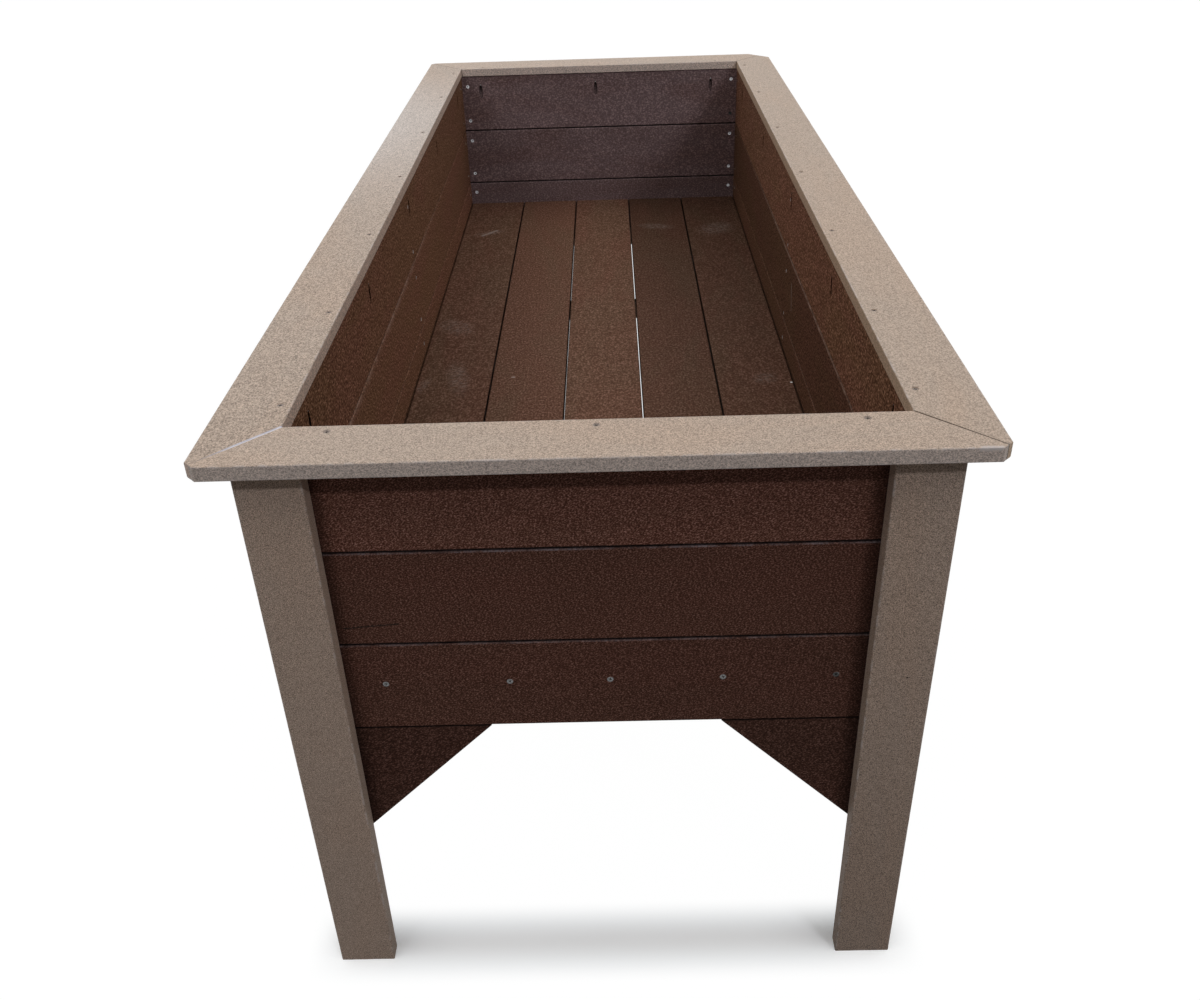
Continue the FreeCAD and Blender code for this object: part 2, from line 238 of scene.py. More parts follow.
# Painted shade: a leg is a little darker towards its foot, where less light reaches: heights, then tones
LEG_FOOT_SHADE = (0.15, 0.55, 0.84, 1.0)
NEAR_LEG_FOOT_SHADE = {
    "leg_front_left_end": (0.15, 0.80, 0.85, 1.04), "leg_front_right_end": (0.10, 0.80, 0.68, 1.0),
}


def base_tone(graph, place, own, node, look, grain, outside):
    """A board's colour without its flecks: two tones in slow patches, and what its kind adds."""
    style = LOOKS[look]
    stretched = graph.mapped(own, scale=along_grain(grain, MOTTLE_STRETCH))
    mottle = graph.noise(stretched, MOTTLE_SCALE, detail=3.0, roughness=0.55, distortion=0.6)
    share = graph.spread(mottle, *MOTTLE_RANGE, 0.0, style["mottle"], smooth=True)
    tone = graph.mix(share, style["main"], style["other"])
    if outside is not None:
        tone = graph.mix(outside, tone, BROWN)
    if node.startswith("rim_"):
        tone = rim_tone(graph, place, node, tone)
    # Painted shade, darker towards the foot of a leg
    if look == "leg":
        foot_shade = graph.spread(graph.axis(place, "Z"), *NEAR_LEG_FOOT_SHADE.get(node, LEG_FOOT_SHADE))
        tone = graph.shade(tone, foot_shade)
    return tone


# Painted sheen along the left rim board: its middle, its reach, its strength, and its share at the inner edge
SHEEN_MIDDLE = 0.40
SHEEN_REACH = 0.75
SHEEN_STRENGTH = 0.85
SHEEN_INNER = 0.7
# Rim boards whose cut edges differ from the front one: the back one is paler, and the side ones warmer
CUT_EDGES = {
    "rim_back": (0.731, 0.608, 0.534), "rim_left": (0.597, 0.458, 0.376), "rim_right": (0.525, 0.381, 0.267),
}
# How level a surface is where a rim board's face gives way to its cut edge
EDGE_LEVEL = (0.75, 0.45)


def rim_tone(graph, place, node, tone):
    """A rim board's cut edges differ from its faces, and the left board has a painted sheen."""
    level = graph.math("ABSOLUTE", graph.axis(graph.facing("True Normal"), "Z"))
    if node == "rim_left":
        low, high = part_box(node)
        away = graph.math("ABSOLUTE", graph.math("SUBTRACT", graph.axis(place, "Y"), SHEEN_MIDDLE))
        patch = graph.spread(away, SHEEN_REACH, 0.0, 0.0, SHEEN_STRENGTH, smooth=True)
        outer = graph.spread(graph.axis(place, "X"), low.x, high.x, 1.0, SHEEN_INNER)
        tone = graph.mix(graph.times(patch, outer), tone, PAINTED_SHEEN)
    return graph.mix(graph.spread(level, *EDGE_LEVEL), tone, CUT_EDGES.get(node, TAN_EDGE))


def flecks(graph, place, style, grain):
    """The pressed surface: small flecks, some lighter and some darker, mostly along the grain."""
    level_axis = 1 if grain == 0 else 0
    turned = graph.mapped(place, turn=along_grain(level_axis, math.radians(style["turn"]), 0.0))
    stretched = graph.mapped(turned, scale=along_grain(grain, 1.0 / style["stretch"]))
    return graph.noise(stretched, 1.0 / style["width"], distortion=0.3)


# Parts of the fleck pattern that are darker, lighter and less coloured than the board
FLECK_DARK = (0.30, 0.50)
# On brown boards the lighter, greyer flecks are partly the plastic's own and partly painted glints off its
# pebbled face
FLECK_LIGHT = (0.50, 0.72)
FLECK_FADE = (0.46, 0.68)
# Boards with fainter flecks than the others of their kind
FLECK_TONE = {"rim_right": 0.72}
# Boards lighter or darker than the others of their kind: partly their own tone, partly painted light and
# shade
# The painted part: planks darker lower down, shaded gussets, and joists lightened as if lit from below
BOARD_TONE_AND_SHADE = {
    "front_plank_top": 1.04, "front_plank_middle": 0.72, "front_plank_bottom": 0.66,
    "gusset_front_left": 0.39, "gusset_front_right": 0.41,
    "gusset_back_left": 0.45, "gusset_back_right": 0.45,
    "back_plank_top": 1.20, "back_plank_middle": 1.06, "back_plank_bottom": 0.98,
    "left_plank_top": 1.12, "left_plank_middle": 1.14, "left_plank_bottom": 1.10,
    "right_plank_top": 1.22, "right_plank_middle": 0.60, "right_plank_bottom": 0.64,
    "floor_plank_1": 0.92, "floor_plank_3": 1.10, "floor_plank_4": 0.90, "floor_plank_5": 0.94,
    "floor_joist_1": 1.3, "floor_joist_2": 1.3, "floor_joist_3": 1.3, "floor_joist_4": 1.3,
    "rim_left": 0.95,
}
# Painted shade: boards that darken along an axis: the axis, where that starts and ends, and the tone at its
# end
BOARD_SHADE_FADE = {
    "floor_plank_3": ("Y", -0.40, 0.95, 0.88), "floor_plank_4": ("Y", -0.40, 0.95, 0.55),
    "floor_plank_5": ("Y", -0.40, 0.95, 0.55), "right_plank_top": ("Y", 0.10, 0.95, 0.78),
    "right_plank_middle": ("Y", 0.10, 0.95, 0.84), "left_plank_top": ("Y", 0.20, 0.95, 0.80),
    "left_plank_middle": ("Y", 0.20, 0.95, 0.80), "front_plank_top": ("X", 0.05, 0.36, 0.90),
    "front_plank_middle": ("X", 0.05, 0.36, 0.88), "front_plank_bottom": ("X", -0.10, 0.36, 0.83),
}
# Painted shade where another board meets a plank's face: how far it reaches, how open it is there, and its
# tone
CONTACT_SHADE_REACH = 0.022
CONTACT_SHADE_OPEN = (0.5, 0.95)
CONTACT_SHADE_TONE = 0.40


def fleck_shade(graph, place, fleck, node, look, outside):
    """How light a point is: its fleck, its board's tone with painted light and shade, and painted shade where
    boards meet.
    """
    style = LOOKS[look]
    strength = FLECK_TONE.get(node, 1.0)
    shade = graph.times(graph.spread(fleck, *FLECK_DARK, 1 - strength * style["dark"], 1.0),
                        graph.spread(fleck, *FLECK_LIGHT, 1.0, 1 + strength * style["light"]))
    # The board's tone, with its painted light and shade
    level = BOARD_TONE_AND_SHADE.get(node, 1.0)
    if node in BOARD_SHADE_FADE:
        axis, start, end, far = BOARD_SHADE_FADE[node]
        level = graph.spread(graph.axis(place, axis), start, end, level, level * far)
    if outside is not None:
        level = graph.blend(outside, level, OUTSIDE_TONE)
    shade = graph.times(shade, level)
    # Painted shade where another board meets the face
    if look == "wall":
        contact_shade = graph.spread(graph.open_sky(CONTACT_SHADE_REACH), *CONTACT_SHADE_OPEN, CONTACT_SHADE_TONE, 1.0)
        shade = graph.times(shade, contact_shade)
    return shade


# The planks' eased edges
EASE = 0.003
# Painted shade down in a seam: where that starts and where it is full, its tone, and its tone on surfaces
# facing down
SEAM_START = 0.0003
SEAM_DEEP = 0.0022
SEAM_SHADE = 0.12
SEAM_UNDER_SHADE = 0.15
UNDER_FACING = (-0.05, -0.35)
# Painted shade in the pocket holes: how dark it is, how far in it is full, and how far from a plank's edges
# they lie
POCKET_SHADE = {"back": 0.42, "inner": 0.05}
POCKET_DEEP = {"back": 0.0008, "inner": 0.0005}
POCKET_MARGIN = (0.006, 0.010)
# A bottom plank's lower edge lies open: no seam shade up to the first height, and all of it from the second
OPEN_EDGE = (0.004, 0.006)
# Painted highlight: planks whose top edge catches the light as a pale line in the seam above them: its colour
# and strength, how far it reaches down the plank's face, and where along Y it fades out
SEAM_HIGHLIGHTS = {
    "front_plank_middle": (SEAM_HIGHLIGHT, 0.70, 0.0, None), "front_plank_bottom": (SEAM_HIGHLIGHT, 0.40, 0.0, None),
    "left_plank_middle": (SEAM_WARM_HIGHLIGHT, 0.95, 0.011, (0.55, -0.35)),
    "right_plank_middle": (SEAM_WARM_HIGHLIGHT, 0.95, 0.002, (0.55, -0.05)),
    "left_plank_bottom": (SEAM_WARM_HIGHLIGHT, 0.18, 0.0, (0.45, -0.25)),
    "right_plank_bottom": (SEAM_WARM_HIGHLIGHT, 0.18, 0.0, (0.45, -0.25)),
}
# How far up a top edge faces where its line shows, and the patches and crumbs that break the line up
TOP_FACING = (0.05, 0.35)
PATCH_SCALE = 30.0
PATCH_RANGE = (0.40, 0.62, 0.20, 1.0)
CRUMB_SCALE = 420.0
CRUMB_RANGE = (0.40, 0.60, 0.35, 1.0)
# Dark lines: full dark to the first distance and gone at the second, then their tone and the board's own
# The foot line is painted shade in the corner where the floor meets a long wall
FOOT_SHADE_LINE = (0.0022, 0.0050, 0.35, 1.0)
GUSSET_LINE = (0.0008, 0.0020, 0.25, 1.0)
JOINT_LINE = (0.0009, 0.0016, 0.45, 1.0)


def edge_highlight(graph, place, node, colour, upward):
    """Painted highlight: the pale line where the top edge of a lower plank catches the light."""
    line, strength, reach, fade = SEAM_HIGHLIGHTS[node]
    pale = graph.spread(upward, *TOP_FACING)
    if reach:
        below = graph.math("SUBTRACT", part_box(node)[1].z, graph.axis(place, "Z"))
        pale = graph.math("MAXIMUM", pale, graph.spread(below, EASE + reach, EASE))
    patches = graph.spread(graph.noise(place, PATCH_SCALE, detail=3.0, roughness=0.6), *PATCH_RANGE)
    crumbs = graph.spread(graph.noise(place, CRUMB_SCALE), *CRUMB_RANGE)
    share = graph.times(graph.times(pale, graph.times(patches, crumbs)), strength)
    if fade:
        share = graph.times(share, graph.spread(graph.axis(place, "Y"), *fade, smooth=True))
    return graph.mix(share, colour, line)


def foot_shade_line(graph, place, node):
    """Painted shade: the dark line where the floor meets the inner face of a long wall."""
    low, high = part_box(node)
    floor_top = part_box("floor_plank_1")[1].z
    height = graph.math("ABSOLUTE", graph.math("SUBTRACT", graph.axis(place, "Z"), floor_top))
    away = graph.math("ABSOLUTE", graph.axis(place, "X"))
    outside = graph.math("GREATER_THAN", away, min(abs(low.x), abs(high.x)) + EASE)
    return graph.math("MAXIMUM", graph.spread(height, *FOOT_SHADE_LINE), outside)


def seam(graph, place, node, colour, look):
    """Painted shade down between the planks and in the pocket holes, with a painted highlight on some planks'
    top edges.
    """
    low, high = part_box(node)
    axis = {"floor": 2, "inner": 0}.get(look, 1)
    middle = (low[axis] + high[axis]) / 2
    offset = graph.math("ABSOLUTE", graph.math("SUBTRACT", graph.axis(place, axis), middle))
    depth = graph.math("SUBTRACT", (high[axis] - low[axis]) / 2, offset)
    upward = graph.axis(graph.facing(), "Z")
    height = graph.axis(place, "Z")
    if node in SEAM_HIGHLIGHTS:
        colour = edge_highlight(graph, place, node, colour, upward)
    shade = SEAM_SHADE
    reach = SEAM_DEEP
    if look in POCKET_SHADE:
        above = graph.math("SUBTRACT", height, low.z)
        below = graph.math("SUBTRACT", high.z, height)
        inward = graph.spread(graph.math("MINIMUM", above, below), *POCKET_MARGIN)
        shade = graph.blend(inward, SEAM_SHADE, POCKET_SHADE[look])
        reach = graph.blend(inward, SEAM_DEEP, POCKET_DEEP[look])
    deep = graph.spread(depth, SEAM_START, reach, 1.0, shade)
    if look != "floor":
        deep = graph.times(deep, graph.spread(upward, *UNDER_FACING, 1.0, SEAM_UNDER_SHADE))
    if node.endswith("_bottom"):
        start, end = OPEN_EDGE
        deep = graph.math("MAXIMUM", deep, graph.spread(height, low.z + start, low.z + end, 1.0, 0.0))
        if look == "inner":
            deep = graph.times(deep, foot_shade_line(graph, place, node))
    return graph.shade(colour, deep)


# Wear along a tan board's long edges: how far it reaches, its nicks, and its strength
WORN_WIDTH = 0.0035
NICK_SCALE = 70.0
NICK_RANGE = (0.45, 0.62)
NICK_STRENGTH = 0.55


def arris(graph, place, node):
    """How close a point is to a long edge of its board: 0 at the edge, in metres."""
    low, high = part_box(node)
    offset = graph.vector("SUBTRACT", place, tuple((low + high) / 2))
    depth = graph.vector("SUBTRACT", tuple((high - low) / 2), graph.vector("ABSOLUTE", offset))
    x, y, z = (graph.axis(depth, name) for name in "XYZ")
    lesser = graph.math("MINIMUM", x, y)
    greater = graph.math("MAXIMUM", x, y)
    return graph.math("MAXIMUM", lesser, graph.math("MINIMUM", greater, z))


def worn_edges(graph, place, own, node, colour):
    """Pale nicks along a tan board's long edges."""
    edge = graph.spread(arris(graph, place, node), 0.0, WORN_WIDTH, 1.0, 0.0, smooth=True)
    nicks = graph.spread(graph.noise(own, NICK_SCALE, detail=4.0, roughness=0.6), *NICK_RANGE)
    return graph.mix(graph.times(edge, graph.times(nicks, NICK_STRENGTH)), colour, WORN_TAN)


# Painted highlight beside the open mitre: half its width, where it tapers off, and its soft edge
HIGHLIGHT_HALF = 0.0021
HIGHLIGHT_TAPER = (0.045, 0.085)
HIGHLIGHT_SOFT = 0.0004


def mitre_marks(graph, place, colour):
    """Dark joint lines at the rim's mitres, and a painted highlight beside the open front left one."""
    x = graph.axis(place, "X")
    y = graph.axis(place, "Y")
    beyond_x = graph.math("SUBTRACT", graph.math("ABSOLUTE", x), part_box("rim_right")[0].x)
    beyond_y = graph.math("SUBTRACT", graph.math("ABSOLUTE", y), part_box("rim_back")[0].y)
    across = graph.math("ABSOLUTE", graph.math("SUBTRACT", beyond_x, beyond_y))
    across = graph.times(across, math.sqrt(0.5))
    lit_corner = graph.times(graph.math("LESS_THAN", x, 0.0), graph.math("LESS_THAN", y, 0.0))
    line = graph.spread(across, *JOINT_LINE)
    colour = graph.shade(colour, graph.math("MAXIMUM", line, lit_corner))
    wide = graph.spread(beyond_x, *HIGHLIGHT_TAPER, HIGHLIGHT_HALF, 0.0)
    share = graph.spread(graph.math("SUBTRACT", wide, across), -HIGHLIGHT_SOFT, HIGHLIGHT_SOFT)
    share = graph.times(share, graph.spread(beyond_x, *HIGHLIGHT_TAPER, 1.0, 0.0))
    return graph.mix(graph.times(share, lit_corner), colour, MITRE_HIGHLIGHT)


# Scuffs on the floor planks: place, length, width and turn
FLOOR_SCUFFS = (
    ((-0.293, 0.734), 0.110, 0.040, 20.0),
    ((-0.284, -0.127), 0.060, 0.200, 10.0),
    ((-0.349, -0.158), 0.030, 0.090, -12.0),
    ((-0.313, 0.124), 0.090, 0.130, 35.0),
    ((0.139, 0.753), 0.120, 0.060, -15.0),
    ((0.293, 0.724), 0.110, 0.140, -40.0),
    ((0.311, -0.162), 0.060, 0.070, -30.0),
)
SCUFF_STRENGTH = 0.75
# The share of a scuff's reach that is at full strength, its scratches to the metre, and which of them show
SCUFF_CORE = 0.2
SCRATCH_SCALE = (60.0, 520.0, 0.0)
SCRATCH_RANGE = (0.48, 0.72)
# Single marks on boards: two ends, how wide, colour and strength
MARKS = {
    "front_plank_middle": (((-0.324, -1.016, 0.6161), (-0.256, -1.016, 0.6217), 0.0014, PIT, 0.9),),
    "rim_front": (((0.414, -1.0775, 0.8885), (0.434, -1.0775, 0.8885), 0.0040, WORN_TAN, 0.8),),
    "right_plank_middle": (((0.3627, -0.100, 0.643), (0.3627, -0.085, 0.691), 0.0022, SCUFF, 0.8),),
    "floor_plank_1": (((-0.310, 0.715, 0.5313), (-0.277, 0.752, 0.5313), 0.0045, SCUFF, 0.55),),
    "floor_plank_2": (((-0.178, -0.129, 0.5313), (-0.174, -0.129, 0.5313), 0.0025, SCUFF, 0.9),),
    "floor_plank_5": (((0.3575, -0.184, 0.5313), (0.3585, -0.183, 0.5313), 0.0026, SPECK, 1.0),),
}
# The share of a mark's width that is at full strength
MARK_CORE = 0.6
# Pits: cells to the metre, and where a pit's edge starts and ends, in shares of a cell
PIT_SCALE = 26.0
PIT_EDGE = (0.020, 0.045)


def scuff(graph, place, centre, length, width, turn):
    """A patch of fine pale scratches on a level surface, soft at its edges."""
    offset = graph.vector("SUBTRACT", place, (*centre, 0.0))
    local = graph.mapped(offset, turn=(0.0, 0.0, -math.radians(turn)))
    reach = graph.measure("LENGTH", graph.vector("MULTIPLY", local, (2 / length, 2 / width, 0.0)))
    patch = graph.spread(reach, 1.0, SCUFF_CORE, smooth=True)
    lines = graph.noise(graph.mapped(local, scale=SCRATCH_SCALE), 1.0, detail=3.0, roughness=0.6)
    return graph.times(patch, graph.spread(lines, *SCRATCH_RANGE))


def near_line(graph, place, start, end):
    """How far a point is from a straight line between two points."""
    run = Vector(end) - Vector(start)
    offset = graph.vector("SUBTRACT", place, start)
    along = graph.spread(graph.measure("DOT_PRODUCT", offset, tuple(run / run.length_squared)), 0.0, 1.0)
    nearest = graph.add("ShaderNodeVectorMath", {0: tuple(run), "Scale": along}, operation="SCALE").outputs[0]
    return graph.measure("DISTANCE", offset, nearest)


def marked(graph, place, fleck, node, look, colour):
    """Scuffs on the floor, and a board's single scratches, chips and specks."""
    if look == "floor":
        for spot in FLOOR_SCUFFS:
            colour = graph.mix(graph.times(scuff(graph, place, *spot), SCUFF_STRENGTH), colour, SCUFF)
    for start, end, wide, mark, strength in MARKS.get(node, ()):
        ragged = graph.spread(fleck, *NOISE_RANGE, -wide / 2, wide / 2)
        gap = graph.math("ADD", near_line(graph, place, start, end), ragged)
        colour = graph.mix(graph.spread(gap, wide, wide * MARK_CORE, 0.0, strength), colour, mark)
    return colour


def pitted(graph, own, chance, colour):
    """Small dark pits, one in a chosen share of the pattern's cells."""
    cells = graph.add("ShaderNodeTexVoronoi", {"Vector": own, "Scale": PIT_SCALE})
    spot = graph.spread(cells.outputs["Distance"], *PIT_EDGE, 1.0, 0.0)
    draw = graph.add("ShaderNodeSeparateColor", {0: cells.outputs["Color"]}).outputs[0]
    return graph.mix(graph.times(spot, graph.math("LESS_THAN", draw, chance)), colour, PIT)


# How much rougher and smoother than its board a fleck is, and how far it stands out
ROUGH_SPREAD = 0.08
RELIEF_HEIGHT = 0.0004


def board_material(node, look, grain, seed):
    """Recycled plastic: pressed flecks along the grain, slow changes of tone, worn edges, and painted light
    and shade: dark seams and corners, pale edge lines.
    """
    material, graph = new_graph(node)
    style = LOOKS[look]
    place = graph.place()
    own = graph.vector("ADD", place, tuple(step * seed for step in SEED_STEP))
    fleck = flecks(graph, own, style, grain)
    outside = None
    if look in SEEN_INSIDE:
        outside = outer_half(graph, place, node, look)
        fleck = graph.blend(outside, fleck, flecks(graph, own, LOOKS["wall"], grain))

    tone = base_tone(graph, place, own, node, look, grain, outside)
    colour = graph.shade(tone, fleck_shade(graph, place, fleck, node, look, outside))
    if style["fade"] < 1.0:
        fade = graph.spread(fleck, *FLECK_FADE, 1.0, style["fade"])
        colour = graph.add("ShaderNodeHueSaturation", {"Saturation": fade, "Color": colour}).outputs[0]
    if node.startswith("gusset"):
        below = graph.math("SUBTRACT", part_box(node)[1].z, graph.axis(place, "Z"))
        colour = graph.shade(colour, graph.spread(below, *GUSSET_LINE))
    elif look in PLANK_LOOKS:
        colour = seam(graph, place, node, colour, look)
    else:
        colour = worn_edges(graph, place, own, node, colour)
    if node.startswith("rim_"):
        colour = mitre_marks(graph, place, colour)
    colour = marked(graph, place, fleck, node, look, colour)
    if style["pits"]:
        colour = pitted(graph, own, style["pits"], colour)

    rough = graph.spread(fleck, *NOISE_RANGE, style["rough"] + ROUGH_SPREAD, style["rough"] - ROUGH_SPREAD)
    relief = graph.add("ShaderNodeBump",
                       {"Strength": style["relief"], "Distance": RELIEF_HEIGHT, "Height": fleck})
    graph.surface({"Base Color": colour, "Roughness": rough, "Normal": relief.outputs[0],
                   "Specular IOR Level": style["shine"]})
    return material


def dress(node, material):
    """Gives a CAD node a material."""
    for slot in nodes[node].material_slots:
        slot.link = "OBJECT"
        slot.material = material


def dress_boards():
    for seed, node in enumerate(sorted(nodes), start=1):
        if not node.endswith("_screws"):
            look, grain = look_of(node)
            dress(node, board_material(node, look, grain, seed))


# A screw's uneven finish, and the painted shade down in its recess: how far in, how open it is there, and how
# dark
CLOUD_SCALE = 900.0
SCREW_ROUGH = (0.34, 0.5)
RECESS_REACH = 0.003
RECESS_OPEN = (0.30, 0.75)
RECESS_SHADE = 0.85
# How far round a point a dark screw reaches, and how high the bare one in the back wall's top plank lies
DARK_REACH = 0.012
BARE_RISE = 0.0258


def screw_material(name, colour, metal, uneven, dark_places=(), domed=0.0):
    """A screw's finish, uneven, with painted shade down in its recess. A domed head catches light from above.
    """
    material, graph = new_graph(name)
    place = graph.place()
    cloud = graph.noise(place, CLOUD_SCALE, detail=3.0, roughness=0.6)
    tone = graph.shade(colour, graph.spread(cloud, *NOISE_RANGE, 1 - uneven, 1 + uneven))
    recess = graph.spread(graph.open_sky(RECESS_REACH), *RECESS_OPEN, RECESS_SHADE, 0.0)
    tone = graph.mix(recess, tone, DARK_STEEL_AND_SHADE)
    for centre in dark_places:
        gap = graph.measure("DISTANCE", place, centre)
        tone = graph.mix(graph.math("LESS_THAN", gap, DARK_REACH), tone, DARK_STEEL_AND_SHADE)
    rough = graph.spread(cloud, *NOISE_RANGE, *SCREW_ROUGH)
    facing = graph.vector("NORMALIZE", graph.vector("ADD", graph.facing(), (0.0, 0.0, domed)))
    graph.surface({"Base Color": tone, "Roughness": rough, "Metallic": metal, "Normal": facing})
    return material


def fifth_floor_screw():
    """The dark screw at the near end of the fifth floor plank."""
    low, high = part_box("floor_plank_5")
    return (low.x + high.x) / 2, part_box("front_plank_bottom")[0].y, (low.z + high.z) / 2


def bare_wall_screw():
    """The dark screw low at the right end of the back wall's top plank."""
    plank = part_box("back_plank_top")[0]
    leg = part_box("leg_back_right_end")[0]
    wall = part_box("right_plank_top")[0]
    return (leg.x + wall.x) / 2, plank.y, plank.z + BARE_RISE


def dress_screws():
    zinc = screw_material("zinc", ZINC, metal=0.15, uneven=0.15)
    finishes = {
        "rim_screws": screw_material("coated", COATED, metal=0.0, uneven=0.15),
        "floor_end_screws": screw_material("dull_zinc", DULL_ZINC, metal=0.15, uneven=0.6,
                                           dark_places=(fifth_floor_screw(),)),
        "end_wall_screws": screw_material("wall_zinc", WALL_ZINC, metal=0.6, uneven=0.30,
                                          dark_places=(bare_wall_screw(),), domed=0.7),
    }
    for node in nodes:
        if node.endswith("_screws"):
            dress(node, finishes.get(node, zinc))


def mesh_piece(name, points, faces, material):
    mesh = bpy.data.meshes.new(name)
    mesh.from_pydata(points, [], faces)
    mesh.validate()
    piece = bpy.data.objects.new(name, mesh)
    bpy.context.scene.collection.objects.link(piece)
    piece.data.materials.append(material)
    return piece


# The pale sliver's lumps: their pattern, tones, roughness and height
LUMP_SCALE = 260.0
LUMP_TONE = (0.82, 1.08)
LUMP_ROUGH = (0.5, 0.7)
LUMP_RELIEF = 0.4
LUMP_HEIGHT = 0.0006
# The pale sliver's shape: the mitre's opening at the inner corner, its clearance, how far it is sunk
# and sags, the share of the mitre that it fills, its steps and sides, its waves, and how sharply its end
# closes
SLIVER_OPENING = 0.0032
SLIVER_CLEAR = 0.0001
SLIVER_SUNK = 0.0002
SLIVER_SAG = 0.0003
SLIVER_REACH = 0.72
SLIVER_STEPS = 24
SLIVER_SIDES = 4
SLIVER_WAVES = 9.0
SLIVER_CLOSE = 6


def sliver_material():
    """The pale sliver, a painted highlight for the lit cut face of the mitre: chalky, with faint lumps."""
    material, graph = new_graph("sliver_highlight")
    lumps = graph.noise(graph.place(), LUMP_SCALE, detail=4.0, roughness=0.6)
    tone = graph.shade(MITRE_HIGHLIGHT, graph.spread(lumps, *NOISE_RANGE, *LUMP_TONE))
    relief = graph.add("ShaderNodeBump", {"Strength": LUMP_RELIEF, "Distance": LUMP_HEIGHT, "Height": lumps})
    rough = graph.spread(lumps, *NOISE_RANGE, *LUMP_ROUGH)
    graph.surface({"Base Color": tone, "Roughness": rough, "Normal": relief.outputs[0]})
    return material


def mitre_sliver():
    """The pale sliver in the open front left mitre, widest at the inner corner: a painted highlight of the
    lit cut face.
    """
    low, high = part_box("rim_front")
    inner = Vector((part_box("rim_left")[1].x, high.y))
    outward = Vector((-1.0, -1.0)) / math.sqrt(2)
    side = Vector((1.0, -1.0)) / math.sqrt(2)
    length = (high.y - low.y) * math.sqrt(2)
    points = []
    for step in range(SLIVER_STEPS + 1):
        share = step / SLIVER_STEPS
        along = share * SLIVER_REACH
        opening = SLIVER_OPENING * (1 - along) * (1 - share ** SLIVER_CLOSE)
        half = max(opening / 2 - SLIVER_CLEAR, SLIVER_CLEAR)
        middle = inner + outward * (along * length)
        top = high.z - SLIVER_SUNK - SLIVER_SAG * math.sin(SLIVER_WAVES * share) ** 2
        for sign, level in ((-1, top), (1, top), (1, low.z), (-1, low.z)):
            spot = middle + side * (sign * half)
            points.append((spot.x, spot.y, level))
    last = SLIVER_STEPS * SLIVER_SIDES
    faces = [(0, 1, 2, 3), (last + 3, last + 2, last + 1, last)]
    for step in range(SLIVER_STEPS):
        for corner in range(SLIVER_SIDES):
            start = step * SLIVER_SIDES + corner
            after = step * SLIVER_SIDES + (corner + 1) % SLIVER_SIDES
            faces.append((start, start + SLIVER_SIDES, after + SLIVER_SIDES, after))
    piece = mesh_piece("mitre_sliver", points, faces, sliver_material())
    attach(piece, "root")


# Light: direction towards the lamp, strength on a surface that faces it, angle across, colour
WARM = (1.0, 0.985, 0.96)
COOL = (0.96, 0.98, 1.04)
LAMPS = {
    "overhead": ((0.0, 0.0, 1.0), 0.275, 90.0, WARM),
    "left": ((-0.60, 0.0, 0.80), 0.27, 60.0, WARM),
    "right": ((0.60, 0.0, 0.80), 0.25, 60.0, WARM),
    "behind": ((-0.25, 0.85, 0.46), 0.06, 40.0, COOL),
}
# Two banks of lamps over the near end, the right one stronger: a place to the side, and a strength
KEY_SLOPE = 0.91
KEY_ANGLE = 2.5
KEY_BANKS = ((0.60, 0.053), (0.72, 0.053), (0.84, 0.053), (-0.50, 0.034), (-0.66, 0.034))
for aside, strength in KEY_BANKS:
    LAMPS[f"key {aside}"] = ((aside, -1.0, KEY_SLOPE), strength, KEY_ANGLE, COOL)
WORLD_FILL = 0.01


def direct_view(graph):
    """1 where the camera sees a surface straight, in a mirror or through glass."""
    path = graph.add("ShaderNodeLightPath")
    seen = graph.math("MAXIMUM", path.outputs["Is Camera Ray"], path.outputs["Is Glossy Ray"])
    return graph.math("MAXIMUM", seen, path.outputs["Is Transmission Ray"])


def light():
    world = bpy.data.worlds.new("world")
    world.use_nodes = True
    bpy.context.scene.world = world
    graph = Graph(world.node_tree)
    strength = graph.spread(direct_view(graph), 0.0, 1.0, WORLD_FILL, 1.0)
    sky = graph.add("ShaderNodeBackground", {"Color": FLOOR_WHITE, "Strength": strength})
    graph.add("ShaderNodeOutputWorld", {0: sky.outputs[0]})
    for name, (towards, strength, angle, colour) in LAMPS.items():
        lamp = bpy.data.lights.new(name, "SUN")
        lamp.energy = strength * math.pi
        lamp.angle = math.radians(angle)
        lamp.color = colour
        holder = bpy.data.objects.new(name, lamp)
        holder.rotation_mode = "QUATERNION"
        holder.rotation_quaternion = Vector(towards).to_track_quat("Z", "Y")
        bpy.context.scene.collection.objects.link(holder)


# The stage floor: half its side, how bright it shows, and how much shadow it takes far from the bed's ends
# and under them, with the reach of that band and of its two tips
FLOOR_HALF = 60.0
FLOOR_GLOW = 1.01
FAINT_SHADOW = 0.02
BAND_SHADOW = 1.10
BAND_REACH = 0.075
BAND_TIP = 0.06


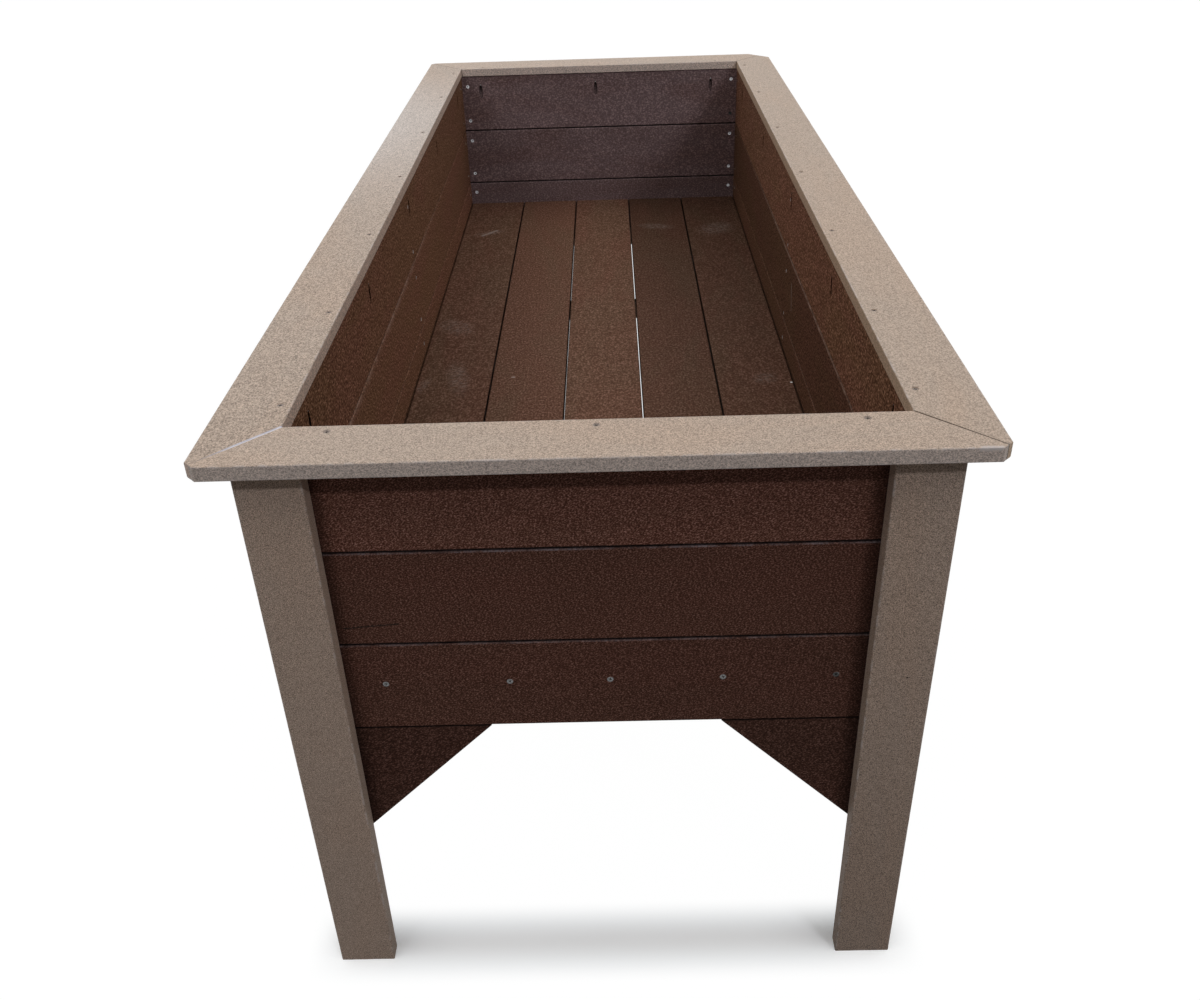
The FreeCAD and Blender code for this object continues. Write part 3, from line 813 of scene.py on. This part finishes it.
def stage_floor():
    """A plain white floor: a soft shadow under the bed's two ends, and a faint one elsewhere."""
    material, graph = new_graph("stage_floor")
    place = graph.place()
    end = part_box("front_plank_bottom")[0].y
    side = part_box("leg_front_right_end")[1].x
    along = graph.math("ABSOLUTE", graph.axis(place, "Y"))
    across = graph.math("ABSOLUTE", graph.axis(place, "X"))
    away = graph.math("ABSOLUTE", graph.math("ADD", along, end))
    band = graph.spread(away, 0.0, BAND_REACH, BAND_SHADOW, FAINT_SHADOW, smooth=True)
    past_tips = graph.spread(across, side - BAND_TIP / 2, side + BAND_TIP, smooth=True)
    catch = graph.blend(past_tips, band, FAINT_SHADOW)
    open_light = sum(strength * Vector(towards).normalized().z for towards, strength, _, _ in LAMPS.values())
    glow = graph.math("SUBTRACT", FLOOR_GLOW, graph.times(catch, open_light))
    tint = graph.mix(catch, FLOOR_WHITE, FLOOR_SHADE)
    lit = graph.add("ShaderNodeEmission", {"Color": tint, "Strength": glow})
    soft = graph.add("ShaderNodeBsdfDiffuse", {"Color": graph.grey(catch)})
    shown = graph.add("ShaderNodeAddShader", {0: lit.outputs[0], 1: soft.outputs[0]})
    plain = graph.add("ShaderNodeBsdfDiffuse", {"Color": FLOOR_GREY})
    both = graph.add("ShaderNodeMixShader", {0: direct_view(graph), 1: plain.outputs[0], 2: shown.outputs[0]})
    graph.add("ShaderNodeOutputMaterial", {0: both.outputs[0]})
    half = FLOOR_HALF
    corners = [(-half, -half, 0), (half, -half, 0), (half, half, 0), (-half, half, 0)]
    mesh_piece("floor", corners, [(0, 1, 2, 3)], material)


# The photograph's camera: picture width and focal length in pixels, sensor in mm, place, angles in degrees
IMAGE_WIDTH = 1200
FOCAL_PIXELS = 1134.3
SENSOR_WIDTH = 36.0
CAMERA_PLACE = (0.0223, -2.1352, 1.4942)
CAMERA_YAW = -1.06
CAMERA_PITCH = -31.93
CAMERA_ROLL = -1.96


def photograph_camera():
    """The camera that took the photograph, from its place, its three angles and its focal length."""
    yaw, pitch, roll = (math.radians(angle) for angle in (CAMERA_YAW, CAMERA_PITCH, CAMERA_ROLL))
    forward = Vector((math.sin(yaw) * math.cos(pitch), math.cos(yaw) * math.cos(pitch), math.sin(pitch)))
    level = Vector((math.cos(yaw), -math.sin(yaw), 0.0))
    upright = level.cross(forward)
    right = level * math.cos(roll) + upright * math.sin(roll)
    up = upright * math.cos(roll) - level * math.sin(roll)
    lens = bpy.data.cameras.new("camera")
    lens.sensor_width = SENSOR_WIDTH
    lens.lens = SENSOR_WIDTH * FOCAL_PIXELS / IMAGE_WIDTH
    lens.clip_end = 4 * FLOOR_HALF
    camera = bpy.data.objects.new("camera", lens)
    camera.matrix_world = Matrix((right, up, -forward)).transposed().to_4x4()
    camera.location = CAMERA_PLACE
    bpy.context.scene.collection.objects.link(camera)
    bpy.context.scene.camera = camera


dress_boards()
dress_screws()
mitre_sliver()
stage_floor()
light()
photograph_camera()
bpy.context.scene.view_settings.view_transform = "Standard"
